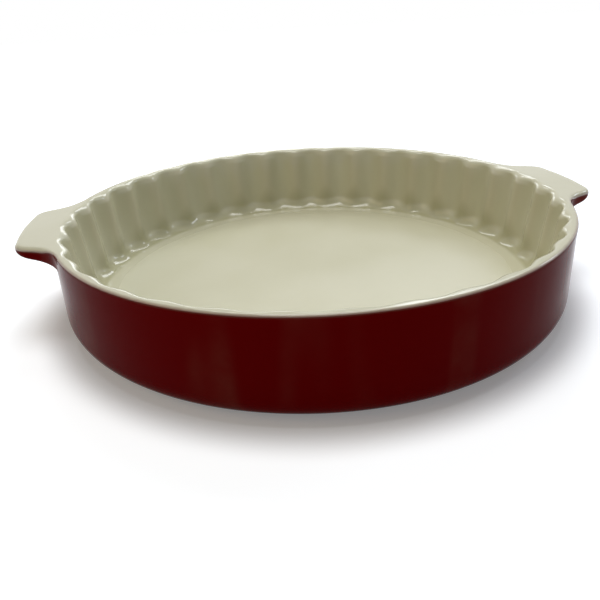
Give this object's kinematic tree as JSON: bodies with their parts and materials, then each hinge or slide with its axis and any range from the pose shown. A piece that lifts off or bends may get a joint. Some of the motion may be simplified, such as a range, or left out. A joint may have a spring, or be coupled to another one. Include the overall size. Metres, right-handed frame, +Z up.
{
  "type": "round baking dish",
  "caption": "Round stoneware baking dish with a fluted inner wall, cream glaze inside, dark red glaze outside and a flat tab handle on each side, for tarts, pies and gratins.",
  "frame": {"origin": "middle of the foot ring, on the plane that the dish stands on", "axes": "+X through the middle of both handles, +Z up out of the open top, +Y across the handles"},
  "size_m": [0.3372, 0.2998, 0.054],
  "materials": {
    "biscuit_clay": "matt fired clay, covered by the glaze coats",
    "bare_foot": "matt bare clay, wiped clean of glaze",
    "cream_glaze": "glossy cream glaze",
    "red_glaze": "glossy dark red glaze"
  },
  "bodies": {
    "root": {"stoneware_body": "biscuit_clay", "handle_lug_left": "biscuit_clay", "handle_lug_right": "biscuit_clay", "foot_ring": "bare_foot", "liner_glaze": "cream_glaze", "outer_glaze": "red_glaze", "underside_glaze": "red_glaze"}
  },
  "joints": []
}
